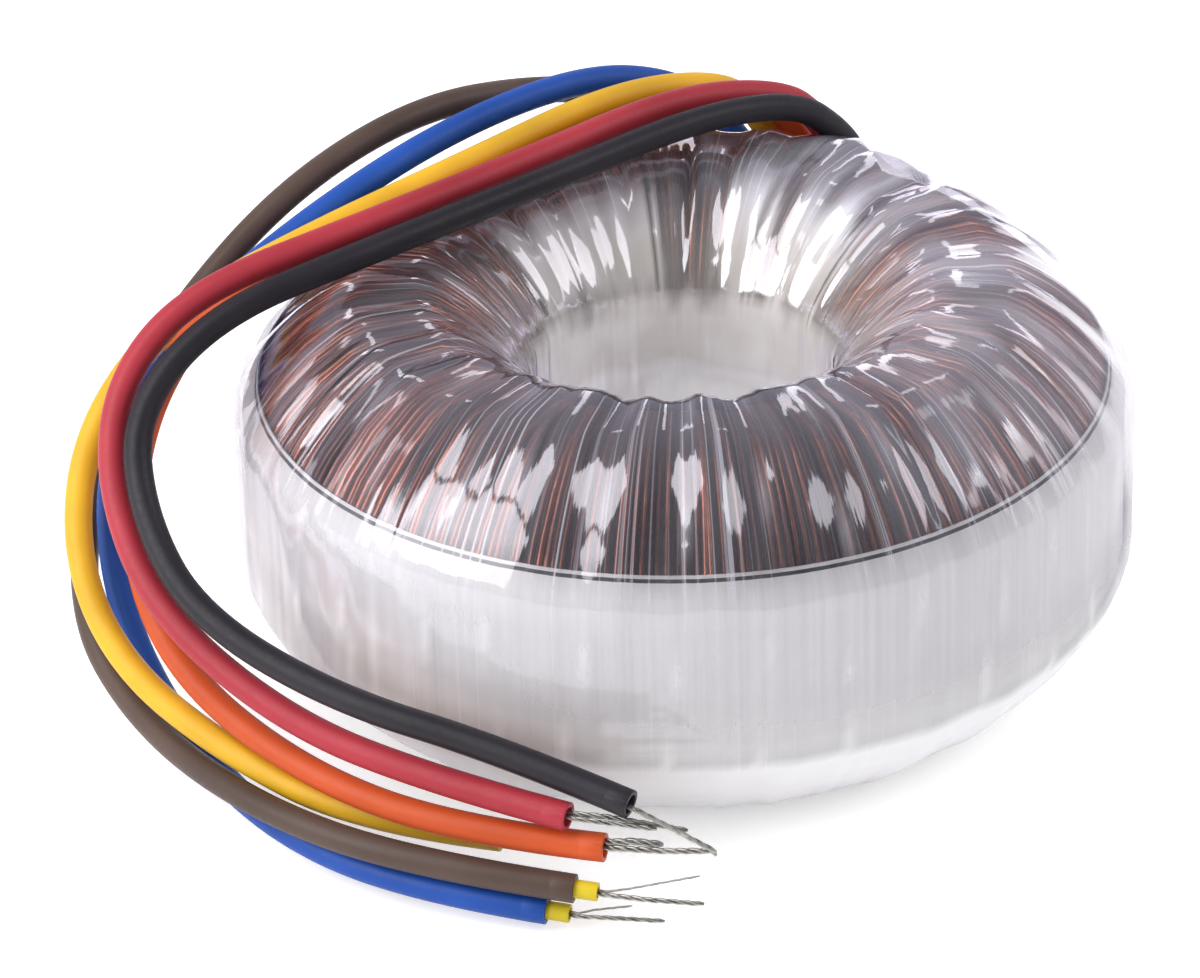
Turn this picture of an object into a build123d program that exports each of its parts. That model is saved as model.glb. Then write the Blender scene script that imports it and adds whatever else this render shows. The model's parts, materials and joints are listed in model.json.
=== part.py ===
from build123d import *
import os
from math import cos, pi, radians, sin, sqrt, tan

# A toroidal mains transformer: a strip-wound steel ring that carries an insulating
# tape, a primary winding, a second tape, two secondary windings, a paper rating
# label round its outer wall and a clear pleated film wrap over everything. Six
# sleeved leads leave together through the film at the back of the upper shoulder.
# Millimetres. The axis of the ring is Z and its lower crest rests on Z = 0.

# ---- Core -------------------------------------------------------------------
core_outer_diameter = 68.0
core_inner_diameter = 42.0
core_height = 23.0
core_edge_break = 0.8

# ---- Build of each layer over the one below it ------------------------------
# (outer wall, upper and lower end, bore, outer corner, bore corner)
core_insulation_build = (0.5, 0.6, 0.8, 0.3, 0.6)
primary_build = (2.1, 2.4, 2.6, 0.65, 1.7)
interwinding_build = (0.4, 0.5, 0.6, 0.2, 0.45)
inner_secondary_build = (1.0, 1.2, 1.1, 0.4, 0.85)
outer_secondary_build = (1.0, 1.1, 1.1, 0.75, 0.85)
wrap_build = (1.0, 1.2, 1.3, 0.8, 0.85)
layer_gap = 0.05

# ---- Corners ----------------------------------------------------------------
# Wound layers turn over the corners of the core in a soft shoulder. Its shape is
# a superellipse quarter: an exponent of 2 is round and 1 is a straight bevel.
shoulder_exponent = 1.36
plain_corner_steps = 2
visible_corner_steps = 3

# ---- Turns and folds --------------------------------------------------------
tape_sides = 20
turn_count = 60
turn_relief = 0.25
turn_valley_share = 0.5
pleat_count = 40
pleat_relief = 0.35
pleat_step_share = 0.25
film_sides = 40
bore_stock = 0.5

# ---- Label ------------------------------------------------------------------
label_height = 19.0
label_thickness = 0.15
label_end_gap_degrees = 14.0

# ---- Leads ------------------------------------------------------------------
sleeve_diameter = 2.5
sleeve_clearance = 0.05
collar_wall = 0.35
collar_rim = 0.7
collar_root = 3.0
exit_stand = 0.7
inner_sleeve_diameter = 1.6
inner_sleeve_length = 2.0
wire_straight = 0.8

# Where each lead leaves the film: its azimuth from +Y towards +X in degrees, and
# how far below the upper crest.
LEAD_EXITS = {
    "black": (29.2, 3.6),
    "red": (24.6, 4.1),
    "orange": (19.65, 4.6),
    "yellow": (14.9, 5.1),
    "blue": (10.2, 5.6),
    "brown": (5.56, 6.2),
}

# The points of each lead's free route after its exit.
LEAD_ROUTES = {
    "black": [
        (15.6, 30.4, 36.8), (11.6, 28.8, 40.4), (2.0, 23.2, 41.8), (-12.0, 12.6, 41.9),
        (-27.9, 0.0, 41.0), (-40.9, -6.8, 37.6), (-47.3, -13.2, 31.4), (-47.6, -19.6, 24.4),
        (-42.3, -27.5, 19.0), (-30.0, -35.5, 16.0), (-16.0, -42.0, 14.2), (-4.9, -47.2, 12.9),
    ],
    "red": [
        (13.4, 32.8, 36.2), (9.8, 31.6, 39.6), (0.0, 26.1, 41.9), (-13.9, 14.5, 42.2),
        (-28.9, 3.2, 41.2), (-42.4, -3.8, 38.2), (-49.3, -9.4, 33.2), (-50.6, -15.4, 25.6),
        (-46.4, -24.5, 17.9), (-34.5, -34.4, 12.3), (-21.0, -42.4, 10.8), (-10.3, -46.8, 10.6),
    ],
    "orange": [
        (10.6, 34.9, 35.5), (7.0, 34.2, 38.8), (-3.0, 28.0, 41.4), (-16.9, 15.8, 41.8),
        (-30.8, 5.6, 40.1), (-42.4, 0.8, 35.1), (-47.5, -5.5, 27.0), (-49.0, -13.0, 18.4),
        (-44.5, -23.5, 12.0), (-33.5, -35.5, 9.0), (-20.0, -44.0, 7.8), (-7.3, -47.2, 7.9),
    ],
    "yellow": [
        (8.0, 36.6, 34.9), (4.6, 36.4, 38.4), (-5.5, 30.0, 41.4), (-19.9, 17.1, 41.4),
        (-33.8, 7.9, 38.9), (-45.4, 2.6, 33.5), (-52.8, -3.4, 25.0), (-54.0, -11.4, 16.6),
        (-50.5, -19.8, 9.6), (-41.0, -31.6, 6.6), (-28.5, -39.2, 5.3), (-16.3, -43.1, 5.2),
    ],
    "blue": [
        (4.9, 38.0, 34.2), (0.8, 38.4, 37.8), (-8.5, 33.2, 41.2), (-20.9, 22.3, 41.4),
        (-33.8, 11.7, 38.2), (-45.4, 4.2, 30.7), (-51.6, -2.6, 21.5), (-51.2, -11.0, 11.5),
        (-45.8, -20.5, 3.8), (-36.8, -34.5, 1.4), (-24.5, -44.8, 1.4), (-12.4, -47.4, 1.4),
    ],
    "brown": [
        (2.0, 39.0, 33.4), (-3.4, 38.7, 36.6), (-13.0, 34.6, 39.7), (-23.9, 26.8, 41.6),
        (-35.3, 17.5, 38.5), (-44.9, 9.3, 31.2), (-52.5, 1.2, 20.7), (-54.2, -10.5, 10.0),
        (-49.4, -21.5, 3.8), (-38.2, -36.4, 3.8), (-24.0, -45.4, 4.3), (-9.9, -48.1, 4.2),
    ],
}
DOUBLE_SLEEVED = ("blue", "brown")

# Bare wires of each lead: their diameter, then for each wire how far it leaves
# the lead's middle (sideways, up) and the points it passes, from where it leaves.
WIRE_ENDS = {
    "black": (0.45, [
        ((0.0, 0.35), [(3.6, -1.0, -1.65), (7.0, -1.6, -3.5)]),
        ((0.0, -0.35), [(2.0, -0.4, -0.95), (4.5, -1.1, -2.0)]),
    ]),
    "red": (0.45, [
        ((-0.3, 0.25), [(2.4, -0.7, -0.4), (9.6, -1.9, -1.05)]),
        ((0.3, -0.25), [(2.4, -0.6, -0.55), (7.0, -1.4, -1.1)]),
    ]),
    "orange": (0.6, [
        ((0.0, 0.4), [(2.4, -0.3, 0.3), (4.8, -0.6, 0.22)]),
        ((0.0, -0.4), [(5.0, -0.7, -0.1), (9.0, -1.1, -0.1), (9.3, -1.2, -0.6)]),
    ]),
    "yellow": (0.45, [
        ((0.0, 0.3), [(3.0, -0.6, 0.2), (6.0, -0.8, 0.2)]),
        ((0.0, -0.3), [(3.0, -0.6, -0.1), (6.0, -0.8, -0.1)]),
    ]),
    "blue": (0.35, [
        ((0.0, 0.3), [(2.0, -0.2, 0.3), (4.6, -0.4, 0.98)]),
        ((0.0, -0.25), [(3.5, -0.6, 0.0), (7.9, -0.9, -0.07)]),
    ]),
    "brown": (0.35, [
        ((0.0, 0.3), [(2.5, -0.2, 0.1), (8.5, -0.6, 1.65)]),
        ((0.0, -0.25), [(4.0, -0.9, -0.15), (8.8, -1.6, -0.33)]),
    ]),
}

# ---- Derived from the sizes above -------------------------------------------
arc_share = 0.45
mid_height = (core_height / 2 + sum(
    build[1] for build in (core_insulation_build, primary_build, interwinding_build,
                           inner_secondary_build, outer_secondary_build, wrap_build)))
corner_middle = 0.5 ** (1 / shoulder_exponent)
corner_fullness = 2 * (1 - corner_middle)


class Section:
    """Half section of a ring, level with mid_height: walls, end and two soft corners."""

    def __init__(self, bore_radius, outer_radius, half_height, outer_leg, bore_leg):
        self.bore_radius = bore_radius
        self.outer_radius = outer_radius
        self.half_height = half_height
        self.outer_leg = outer_leg
        self.bore_leg = bore_leg

    def grown(self, build):
        """The section after a layer of the given build has been wound over it."""
        outer, end, bore, outer_corner, bore_corner = build
        outer_leg = self.outer_leg + (outer + end - sqrt(2) * outer_corner) / corner_fullness
        bore_leg = self.bore_leg + (bore + end - sqrt(2) * bore_corner) / corner_fullness
        return Section(self.bore_radius - bore, self.outer_radius + outer,
                       self.half_height + end, outer_leg, bore_leg)

    def upper_points(self, steps):
        """(radius, height over mid) from the outer wall over the top to the bore."""
        points = []
        for step in range(steps + 1):
            along, up = corner_point(step / steps)
            points.append((self.outer_radius - self.outer_leg * (1 - along),
                           self.half_height - self.outer_leg * (1 - up)))
        for step in range(steps + 1):
            up, along = corner_point(step / steps)
            points.append((self.bore_radius + self.bore_leg * (1 - along),
                           self.half_height - self.bore_leg * (1 - up)))
        return points

    def closed_points(self, steps):
        upper = self.upper_points(steps)
        lower = [(radius, -height) for radius, height in reversed(upper)]
        return upper + lower

    def wall_radius(self, height, steps):
        """Radius of the faceted outer side at a height over the middle of the ring."""
        points = self.upper_points(steps)
        for (radius, low), (next_radius, high) in zip(points, points[1:]):
            if low <= height <= high:
                return radius + (next_radius - radius) * (height - low) / (high - low)
        return self.outer_radius


def corner_point(share):
    """Point of the unit superellipse quarter, from (1, 0) at 0 to (0, 1) at 1."""
    angle = share * pi / 2
    power = 2 / shoulder_exponent
    return max(cos(angle), 0) ** power, max(sin(angle), 0) ** power


def even_stations(count, bulge):
    """Equal stations round the ring as (angle, scale outside, scale in the bore)."""
    return [(2 * pi * index / count, bulge, 1.0) for index in range(count)]


def ribbed_stations(count, valley_share, outer_valley, bore_valley):
    """Crest and valley stations by turns; a valley follows its crest by the share."""
    stations = []
    for index in range(count):
        stations.append((2 * pi * index / count, 1.0, 1.0))
        stations.append((2 * pi * (index + valley_share) / count, outer_valley, bore_valley))
    return stations


def ring_solid(section, steps, stations):
    """Ring of flat gores. Scaling a whole side of the section keeps each gore flat."""
    points = section.closed_points(steps)
    crest_radius = (section.outer_radius - section.outer_leg
                    + section.bore_radius + section.bore_leg) / 2
    rings = []
    for angle, outer_scale, bore_scale in stations:
        ring = []
        for radius, height in points:
            scaled = radius * (outer_scale if radius > crest_radius else bore_scale)
            ring.append(Vector(scaled * cos(angle), scaled * sin(angle), mid_height + height))
        rings.append(ring)
    faces = []
    for ring, next_ring in zip(rings, rings[1:] + rings[:1]):
        for index in range(len(points)):
            following = (index + 1) % len(points)
            corners = [ring[index], ring[following], next_ring[following], next_ring[index]]
            faces.append(Face(Wire.make_polygon(corners, close=True)))
    return Solid(Shell(faces))


def tape_stations():
    """Gores of a hidden layer: their flats, not their edges, lie at the true radius."""
    return even_stations(tape_sides, 1 / cos(pi / tape_sides))


def gap_build(room=0.0):
    """A clearance all round, with more room at the outer wall for what lies there."""
    return (layer_gap + room, layer_gap, layer_gap, layer_gap + room / 2, layer_gap)


core_section = Section(core_inner_diameter / 2, core_outer_diameter / 2, core_height / 2,
                       core_edge_break, core_edge_break)
core_insulation_section = core_section.grown(core_insulation_build)
primary_section = core_insulation_section.grown(primary_build)
interwinding_section = primary_section.grown(interwinding_build)
inner_secondary_section = interwinding_section.grown(inner_secondary_build)
outer_secondary_section = inner_secondary_section.grown(outer_secondary_build)
wrap_section = outer_secondary_section.grown(wrap_build)


def make_core():
    ring = (Cylinder(core_outer_diameter / 2, core_height)
            - Cylinder(core_inner_diameter / 2, core_height))
    ring = chamfer(ring.edges().filter_by(GeomType.CIRCLE), core_edge_break)
    return Pos(0, 0, mid_height) * ring


def make_hidden_layer(section, section_below):
    """A layer of tape or wire that no one sees: a closed ring round the one below."""
    body = ring_solid(section, plain_corner_steps, tape_stations())
    room = ring_solid(section_below.grown(gap_build()), plain_corner_steps, tape_stations())
    return body - room


def make_outer_secondary():
    """The top winding, whose turns lie side by side as ridges over the whole ring."""
    section = outer_secondary_section
    stations = ribbed_stations(turn_count, turn_valley_share, 1 - turn_relief / section.outer_radius,
                               1 + turn_relief / section.bore_radius)
    body = ring_solid(section, visible_corner_steps, stations)
    room = ring_solid(inner_secondary_section.grown(gap_build()), plain_corner_steps, tape_stations())
    return body - room


def make_label():
    """A paper band under the film: straight on the wall, leaning in at both edges."""
    section = outer_secondary_section
    half = label_height / 2
    straight = section.half_height - section.outer_leg
    inside = [(section.wall_radius(abs(height), visible_corner_steps) + layer_gap, height)
              for height in (-half, -straight, straight, half)]
    outside = [(radius + label_thickness, height) for radius, height in reversed(inside)]
    outline = [(radius, 0, mid_height + height) for radius, height in inside + outside]
    profile = Face(Wire.make_polygon(outline, close=True))
    band = revolve(profile, Axis.Z, 360 - label_end_gap_degrees)
    return Rot(0, 0, 90 + label_end_gap_degrees / 2) * band


def exit_point(name):
    azimuth, drop = LEAD_EXITS[name]
    height = wrap_section.half_height - drop
    radius = wrap_section.wall_radius(height, visible_corner_steps) + exit_stand
    angle = radians(azimuth)
    return Vector(radius * sin(angle), radius * cos(angle), mid_height + height)


def lead_route(name):
    return [exit_point(name)] + [Vector(*point) for point in LEAD_ROUTES[name]]


def rod(start, direction, radius, length):
    """A cylinder that starts at a point and runs along a direction."""
    return Plane(origin=start, z_dir=direction) * Cylinder(
        radius, length, align=(Align.CENTER, Align.CENTER, Align.MIN))


def make_wrap():
    """The clear film: overlapping pleats, a true bore and a collar round each lead."""
    crest_stations = ribbed_stations(pleat_count, pleat_step_share,
                                     1 - pleat_relief / wrap_section.outer_radius,
                                     1 + pleat_relief / wrap_section.bore_radius)
    stocked = wrap_section.grown((0, 0, bore_stock, 0, 0))
    film = ring_solid(stocked, visible_corner_steps, crest_stations)
    sleeve_radius = sleeve_diameter / 2
    socket_radius = sleeve_radius + sleeve_clearance
    sockets = []
    for name in LEAD_EXITS:
        start, following = lead_route(name)[:2]
        direction = (following - start).normalized()
        film += rod(start - direction * collar_root, direction, socket_radius + collar_wall,
                    collar_root + collar_rim)
        sockets.append(rod(start, direction, socket_radius, collar_root))
    room = ring_solid(outer_secondary_section.grown(gap_build(label_thickness + layer_gap)),
                      visible_corner_steps, even_stations(film_sides, 1 / cos(pi / film_sides)))
    bore = Cylinder(wrap_section.bore_radius, 2 * wrap_section.half_height)
    film = film - Pos(0, 0, mid_height) * bore - room
    for socket in sockets:
        film -= socket
    return film


def corner_radii(route):
    """The largest arcs that each corner's two runs have room for."""
    radii = []
    for before, corner, after in zip(route, route[1:], route[2:]):
        run_in, run_out = corner - before, after - corner
        turn = radians(run_in.get_angle(run_out))
        radii.append(arc_share * min(run_in.length, run_out.length) / tan(turn / 2))
    return radii


def make_sleeve(name):
    route = lead_route(name)
    radii = corner_radii(route)
    path = Wire(FilletPolyline(*route, radius=radii).edges())
    start = Plane(origin=route[0], z_dir=route[1] - route[0])
    tube = sweep(start * Circle(sleeve_diameter / 2), path=path)
    print(name, "length", round(path.length, 1), "least radius", round(min(radii), 1),
          "radii", [round(radius, 1) for radius in radii],
          "volume share", round(tube.volume / (path.length * pi * sleeve_diameter ** 2 / 4), 4),
          "exit", [round(value, 2) for value in tuple(route[0])])
    return tube


def lead_end(name):
    """Middle and direction of the face that the bare wires leave."""
    before, end = lead_route(name)[-2:]
    direction = (end - before).normalized()
    if name in DOUBLE_SLEEVED:
        end = end + direction * inner_sleeve_length
    return end, direction


def make_inner_sleeve(name):
    before, end = lead_route(name)[-2:]
    return rod(end, end - before, inner_sleeve_diameter / 2, inner_sleeve_length)


def make_wire_end(name):
    """The bare wires of one lead, each straight at first and then bent by hand."""
    diameter, wires = WIRE_ENDS[name]
    middle, direction = lead_end(name)
    side = direction.cross(Vector(0, 0, 1)).normalized()
    up = side.cross(direction)
    solids = []
    for (sideways, rise), points in wires:
        start = middle + side * sideways + up * rise
        bends = [start + Vector(*point) for point in points]
        path = Polyline(start, start + direction * wire_straight, *bends)
        face = Plane(origin=start, z_dir=direction) * Circle(diameter / 2)
        solids.append(sweep(face, path=path, transition=Transition.RIGHT).solid())
    return Compound(children=solids)


def save(name, shape):
    export_step(shape, "parts/" + name + ".step")


os.makedirs("parts", exist_ok=True)
save("core", make_core())
save("core_insulation", make_hidden_layer(core_insulation_section, core_section))
save("primary_winding", make_hidden_layer(primary_section, core_insulation_section))
save("interwinding_insulation", make_hidden_layer(interwinding_section, primary_section))
save("secondary_winding_inner", make_hidden_layer(inner_secondary_section, interwinding_section))
save("secondary_winding_outer", make_outer_secondary())
save("rating_label", make_label())
save("outer_wrap", make_wrap())
for lead in LEAD_ROUTES:
    save("lead_sleeve_" + lead, make_sleeve(lead))
    save("wire_end_" + lead, make_wire_end(lead))
for lead in DOUBLE_SLEEVED:
    save("inner_sleeve_" + lead, make_inner_sleeve(lead))
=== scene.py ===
import json
import math
import random

import bpy
from mathutils import Matrix, Vector, noise


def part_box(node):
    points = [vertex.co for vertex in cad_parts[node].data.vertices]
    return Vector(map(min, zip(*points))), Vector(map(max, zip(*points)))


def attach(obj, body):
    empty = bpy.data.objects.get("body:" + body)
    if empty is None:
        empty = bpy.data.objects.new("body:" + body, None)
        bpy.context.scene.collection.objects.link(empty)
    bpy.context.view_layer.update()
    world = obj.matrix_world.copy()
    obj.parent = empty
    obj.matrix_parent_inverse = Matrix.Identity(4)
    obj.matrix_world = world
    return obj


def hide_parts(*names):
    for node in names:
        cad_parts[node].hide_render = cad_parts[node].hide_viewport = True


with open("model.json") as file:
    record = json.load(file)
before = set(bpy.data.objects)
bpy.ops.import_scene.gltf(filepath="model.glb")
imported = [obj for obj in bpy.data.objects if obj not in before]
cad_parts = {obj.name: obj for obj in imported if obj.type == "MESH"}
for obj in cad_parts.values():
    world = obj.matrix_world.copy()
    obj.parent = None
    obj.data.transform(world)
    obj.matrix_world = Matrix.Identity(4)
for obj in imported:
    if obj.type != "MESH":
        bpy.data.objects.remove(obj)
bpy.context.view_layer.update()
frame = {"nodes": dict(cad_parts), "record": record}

# Looks of a toroidal mains transformer: copper turns and a label under a pleated
# clear film, and six sleeved leads that end in tinned wires. Metres. Z is up.

MM = 0.001
TURN = 2 * math.pi

# ---- Sizes read from the frame ------------------------------------------------
mounts = {mount["name"]: mount for mount in frame["record"]["mounts"]}
bore_radius = mounts["centre_bore"]["dims"]["r_mm"] * MM
film_low, film_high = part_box("outer_wrap")
winding_low, winding_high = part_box("secondary_winding_outer")
label_low, label_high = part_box("rating_label")
ring_radius = film_high.x
ring_height = film_high.z - film_low.z
middle_height = (film_high.z + film_low.z) / 2
winding_radius = winding_high.x
winding_half_height = (winding_high.z - winding_low.z) / 2
label_radius = label_high.x

# ---- Shape of the wound section -----------------------------------------------
shoulder_exponent = 1.36
film_outer_leg = 11.6 * MM
film_bore_leg = 9.6 * MM
film_shoulder_steps = 12
winding_outer_leg = 10.25 * MM
winding_bore_leg = 7.95 * MM
winding_shoulder_steps = 5
winding_bore_radius = bore_radius + 1.3 * MM

# ---- Turns --------------------------------------------------------------------
turn_count = 312
wire_radius = 0.29 * MM
turn_lean_degrees = 1.6
turn_crowding_scale = 8
# A turn drifts and jitters by these shares of a pitch, and lies up to this much deeper.
turn_drift = 1.2
turn_jitter = 0.2
turn_sinking = 0.3 * MM

# ---- Label --------------------------------------------------------------------
# It leans in over the winding's shoulder, and its ends leave a gap at the back.
label_top = label_high.z + 0.4 * MM
label_gap = math.radians(14.0)
label_steps = 340
label_thickness = 0.12 * MM
label_ripple = 0.05 * MM
# The dark line along the upper edge starts and ends this far below it.
edge_line_start = 0.28 * MM
edge_line_end = 0.58 * MM

# ---- Film ---------------------------------------------------------------------
# The torus has as many columns as its primitive allows.
film_columns = 256
film_rows = 72
torus_radius = 26.0 * MM
torus_tube = 12.0 * MM
# Broad and fine creases: how many, in how many rows, and their wander in pitches.
broad_creases = 54
broad_rows = 7
broad_wander = 0.26
fine_creases = 230
fine_rows = 7
fine_wander = 0.22
# Crowding and lean of the creases in pitches, and how much their height varies.
crease_crowding = 0.38
crease_lean = 0.35
lowest_crease = 0.15
crease_unevenness = 0.30
# The film between two broad creases: how rounded, how flat, and the widest angle counted.
crease_roundness = 0.5
tautness = 0.8
widest_facet = 0.3
# Laps of the tape, and how far the film stands out round the lead exits.
lap_count = 33
lap_step = 0.12 * MM
lap_jitter = 0.3
tent_height = 1.3 * MM
tent_reach = 6.0 * MM
# Relief of the creases in millimetres, and the film's milkiness, both from the
# middle of the outer wall over the crest to the middle of the bore.
broad_relief = [0.04, 0.08, 0.32, 0.56, 0.60, 0.24, 0.13, 0.10, 0.10]
fine_relief = [0.01, 0.04, 0.10, 0.13, 0.12, 0.09, 0.08, 0.10, 0.08]
swell_relief = [0.03, 0.05, 0.14, 0.20, 0.20, 0.14, 0.14, 0.12, 0.06]
film_milk = [0.05, 0.04, 0.06, 0.08, 0.09, 0.12, 0.20, 0.30, 0.32]
relief_beneath = 0.5
# A thin milky line follows each lap's edge.
lap_line_milk = 0.26
lap_line_width = 0.16 * MM
# The bore's lining starts at this share of the way in.
lining_milk = 0.74
lining_edge = 0.80
lining_blur = 0.05
# The film is hazier towards this bearing (from +X), by up to this share.
haze_bearing = math.radians(18.0)
haze_share = 0.27
# Round the outer wall it is milkier towards this bearing.
wall_haze_bearing = math.radians(-158.0)
wall_haze_share = 0.75
wall_haze_reach = 0.22
# It is milkier towards the label's lower edge, and most of all beneath it.
foot_haze_share = 0.65
foot_haze_reach = 9.0 * MM
milk_beneath = 0.85
milk_beneath_from = label_low.z + 1.6 * MM
# Pale patches where the film is bunched into the bore, which also paint the lamps' reflection on the
# bore's far shoulder: bearing and half-width in degrees.
mouth_patches = ((121.0, 23.0), (71.0, 6.5), (45.0, 11.0))
mouth_milk_and_painted_reflection = 0.62
mouth_place = 0.715
mouth_depth = 0.095
mouth_blur = 4.0

# ---- Studio -------------------------------------------------------------------
# The air's own light, and how bright the sweep behind and the room in front look in reflections.
air_level = 0.53
air_colour = (0.96, 0.955, 1.0, 1.0)
sweep_colour = (0.88, 0.84, 1.0, 1.0)
sweep_level = 0.46
room_level = 0.14
floor_glow = 0.45
# Each softbox: name, place, width, height, power.
SOFTBOXES = (
    ("front_top_softbox", (-0.32, -0.16, 0.68), 0.30, 0.36, 1.45),
    ("left_softbox", (-0.66, -0.34, 0.44), 0.58, 0.52, 4.4),
    ("right_softbox", (0.60, -0.12, 0.56), 0.42, 0.38, 1.5),
)
# Each tall strip light: name, bearing from straight behind in degrees, width, power.
strip_distance = 0.80
strip_height = 0.62
strip_lift = 0.02
BACK_STRIPS = (
    ("back_strip_left_side", -100.0, 0.07, 0.34),
    ("back_strip_far_left", -76.0, 0.08, 0.28),
    ("back_strip_left", -50.0, 0.06, 0.27),
    ("back_strip_middle_left", -24.0, 0.055, 0.27),
    ("back_strip_middle", 3.0, 0.05, 0.23),
    ("back_strip_right", 28.0, 0.05, 0.20),
    ("back_strip_far_right", 56.0, 0.08, 0.20),
    ("back_strip_right_side", 84.0, 0.05, 0.18),
)
# The camera looks down on the ring, a little to its left, with a slight roll.
camera_elevation = math.radians(29.2)
camera_roll = math.radians(-1.22)
camera_distance = 0.52
camera_aim = Vector((-7.6, -1.26, 16.25)) * MM
camera_lens = 174.33

# ---- Leads --------------------------------------------------------------------
sleeve_radius = 1.25 * MM
sleeve_bore = 0.85 * MM
inner_sleeve_radius = 0.8 * MM
inner_sleeve_bore = 0.62 * inner_sleeve_radius
inner_sleeve_length = 2.0 * MM
inner_sleeve_colour = (0.72, 0.55, 0.02)
# How far a sleeve starts before its exit, and how far back a mouth or an inner sleeve is rooted.
sleeve_root = 2.5 * MM
mouth_root = 2.0 * MM
inner_sleeve_root = 1.5 * MM
wire_root = 1.2 * MM
wire_straight = 0.8 * MM
# Each wire is three strands, whose size and offset are this share of its diameter.
strand_share = 0.27
strand_lay = 3.2 * MM
strand_step = 0.35 * MM

# Each lead: colour of its vinyl, its real length, and its route in millimetres.
LEADS = {
    "black": ((0.013, 0.011, 0.016), 146.4, [
        (16.5, 30.2, 33.4), (14.9, 30.1, 36.1), (11.1, 28.4, 39.8), (2.1, 22.7, 41.4),
        (-11.5, 11.4, 41.0), (-27.5, -1.0, 40.4), (-40.8, -7.1, 37.6), (-47.6, -13.1, 31.5),
        (-46.7, -19.5, 24.6), (-41.9, -27.3, 19.3), (-30.1, -35.6, 15.9), (-15.9, -41.9, 14.4),
        (-5.1, -47.5, 12.3)]),
    "red": ((0.40, 0.026, 0.042), 147.7, [
        (14.65, 31.99, 32.9), (13.2, 32.7, 36.1), (9.8, 31.6, 39.5), (0.0, 25.8, 41.9),
        (-13.6, 13.3, 41.9), (-28.7, 2.1, 41.1), (-42.5, -4.2, 38.6), (-49.0, -9.5, 33.1),
        (-50.0, -15.4, 25.6), (-45.8, -24.3, 18.2), (-34.2, -34.2, 12.7), (-20.8, -42.1, 11.3),
        (-10.3, -46.7, 10.7)]),
    "orange": ((0.56, 0.075, 0.010), 150.1, [
        (12.0, 33.61, 32.4), (10.3, 34.8, 35.3), (7.0, 34.1, 38.7), (-2.9, 27.2, 40.2),
        (-16.4, 15.2, 39.5), (-30.3, 5.4, 38.2), (-41.8, 1.3, 34.1), (-47.7, -5.5, 27.0),
        (-48.8, -13.0, 18.4), (-44.6, -23.5, 11.9), (-33.6, -35.6, 8.9), (-20.0, -44.0, 7.8),
        (-7.3, -47.2, 7.9)]),
    "yellow": ((0.76, 0.43, 0.016), 148.3, [
        (9.3, 34.97, 31.9), (7.7, 36.5, 34.7), (4.6, 36.4, 38.3), (-5.4, 29.7, 40.7),
        (-19.3, 16.8, 39.9), (-33.1, 8.1, 37.4), (-45.1, 2.8, 33.0), (-52.8, -3.4, 25.0),
        (-54.0, -11.4, 16.6), (-49.7, -19.6, 10.0), (-40.0, -30.3, 7.6), (-28.3, -38.2, 5.4),
        (-16.1, -41.7, 5.6)]),
    "blue": ((0.006, 0.070, 0.38), 152.6, [
        (6.5, 36.1, 31.4), (4.5, 38.2, 33.2), (0.3, 39.3, 37.0), (-8.4, 33.4, 40.7),
        (-20.7, 22.1, 41.1), (-33.3, 12.4, 37.0), (-45.1, 5.5, 29.7), (-51.4, -1.9, 21.1),
        (-50.7, -10.9, 11.6), (-45.2, -20.3, 4.1), (-36.2, -34.1, 2.1), (-24.2, -44.2, 2.4),
        (-12.3, -47.2, 1.8)]),
    "brown": ((0.085, 0.053, 0.040), 156.8, [
        (3.61, 37.11, 30.8), (1.6, 38.8, 33.1), (-3.5, 38.5, 36.3), (-13.0, 34.3, 39.2),
        (-23.7, 26.5, 41.1), (-35.0, 18.0, 37.7), (-44.4, 10.2, 30.3), (-52.6, 1.7, 20.4),
        (-54.2, -10.5, 10.0), (-48.0, -21.0, 4.7), (-37.4, -35.6, 5.2), (-23.8, -44.9, 5.2),
        (-9.9, -48.0, 4.4)]),
}
DOUBLE_SLEEVED = ("blue", "brown")

# Bare wires of each lead in millimetres: for each wire its diameter, how far it
# leaves the lead's middle (sideways, up) and the points it passes from there.
WIRE_ENDS = {
    "black": [
        (0.46, (0.0, -0.30), [(3.4, -1.0, -1.5), (7.1, -1.5, -3.6)]),
        (0.40, (0.25, -0.15), [(2.2, -0.6, -0.9), (4.9, -1.2, -2.2)])],
    "red": [
        (0.46, (-0.25, 0.35), [(3.0, -0.7, -0.1), (9.8, -1.8, -0.9)]),
        (0.42, (0.15, 0.10), [(3.0, -0.7, -0.2), (7.4, -1.4, -0.5)])],
    "orange": [
        (0.62, (-0.15, 0.55), [(2.4, -0.3, 0.12), (4.8, -0.6, -0.08)]),
        (0.56, (0.1, 0.10), [(5.0, -0.7, -0.05), (9.0, -1.1, 0.12), (9.25, -1.1, -0.3)])],
    "yellow": [
        (0.45, (0.0, 0.3), [(3.0, -0.6, 0.2), (6.0, -0.8, 0.2)]),
        (0.45, (0.0, -0.3), [(3.0, -0.6, -0.1), (6.0, -0.8, -0.1)])],
    "blue": [
        (0.20, (0.0, 0.2), [(2.0, -0.2, 0.25), (5.2, -0.4, 0.72)]),
        (0.40, (0.0, -0.15), [(3.5, -0.6, 0.02), (7.9, -0.9, -0.2)])],
    "brown": [
        (0.20, (0.0, 0.2), [(2.5, -0.2, 0.2), (8.5, -0.6, 1.6)]),
        (0.46, (0.0, -0.15), [(4.0, -0.9, -0.1), (8.8, -1.5, -0.25)])],
}


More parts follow.
